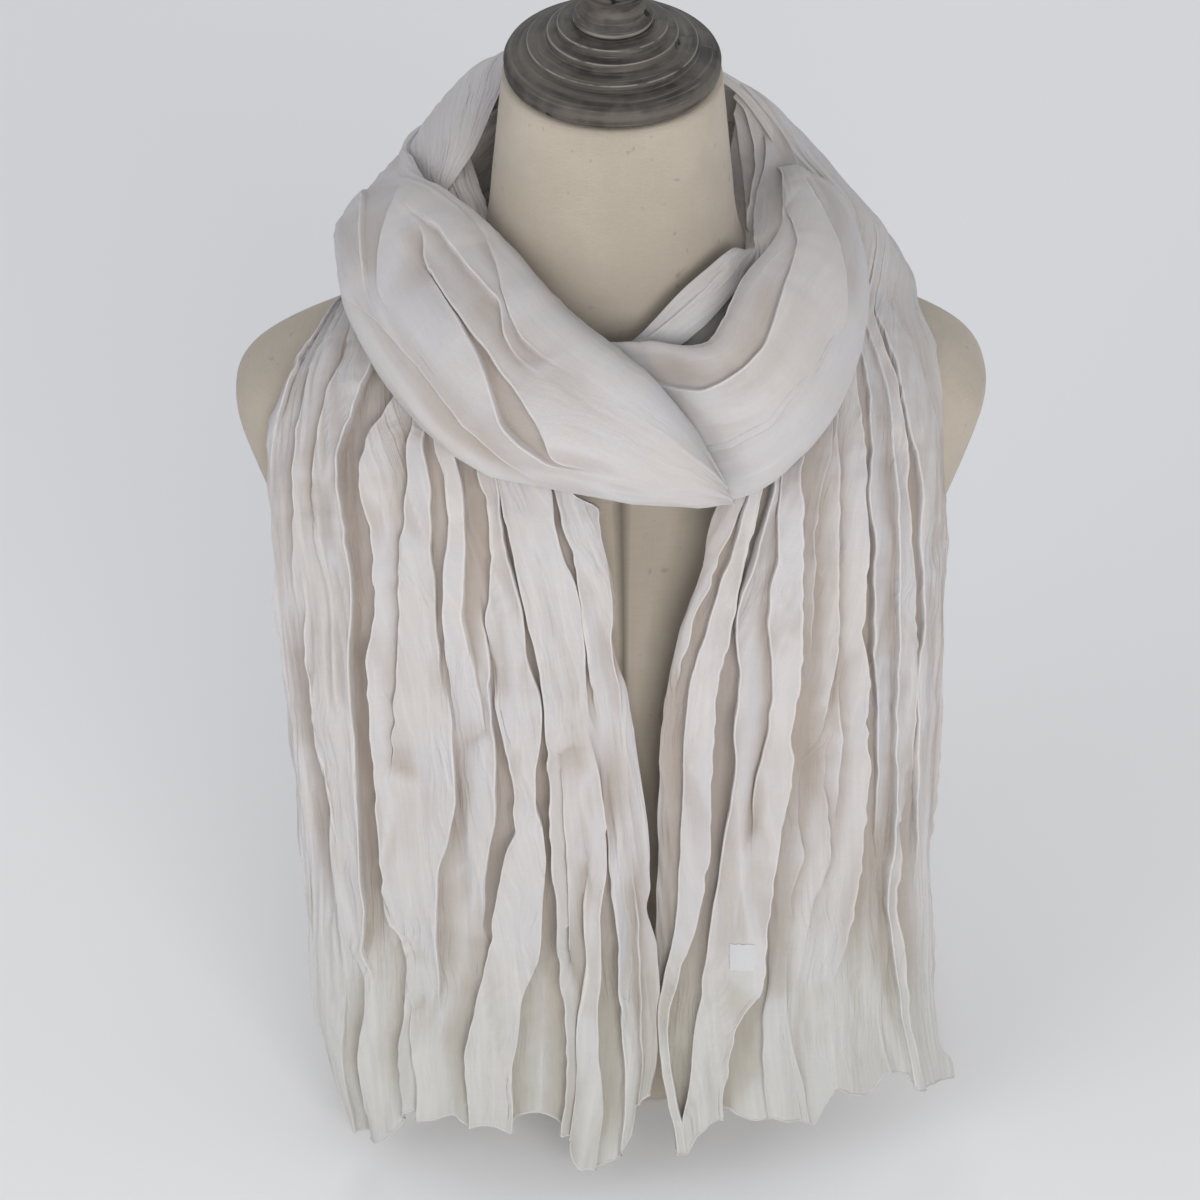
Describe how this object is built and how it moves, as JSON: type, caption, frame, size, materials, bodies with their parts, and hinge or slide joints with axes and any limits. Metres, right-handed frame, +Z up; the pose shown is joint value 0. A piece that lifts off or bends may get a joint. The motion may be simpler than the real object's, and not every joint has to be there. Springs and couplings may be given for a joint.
{
  "type": "crinkled cotton linen scarf worn on a limbless dress form",
  "caption": "Crinkled ivory cotton linen scarf, wound round the neck of a limbless linen dress form with a dark turned wooden neck cap; it stands on the form's flat base.",
  "frame": {"origin": "the middle of the dress form's flat underside, on the surface that it stands on", "axes": "+X to the viewer's right across the shoulders, +Y away from the viewer, +Z up"},
  "size_m": [0.384, 0.2946, 0.6679],
  "materials": {
    "scarf_cloth": "matte crinkled plain weave",
    "form_linen": "matte linen over a smooth form",
    "dark_wood": "dark, worn lighter at the turned edges",
    "label_tape": "smooth woven tape, blank"
  },
  "bodies": {
    "root": {"form_torso": "form_linen", "neck_cap": "dark_wood", "cap_finial": "dark_wood", "tail_left": "scarf_cloth", "tail_right": "scarf_cloth", "nape_outer": "scarf_cloth", "nape_inner": "scarf_cloth", "collar_right": "scarf_cloth", "collar_left": "scarf_cloth", "loop_left": "scarf_cloth", "loop_right": "scarf_cloth", "label": "label_tape"}
  },
  "joints": []
}
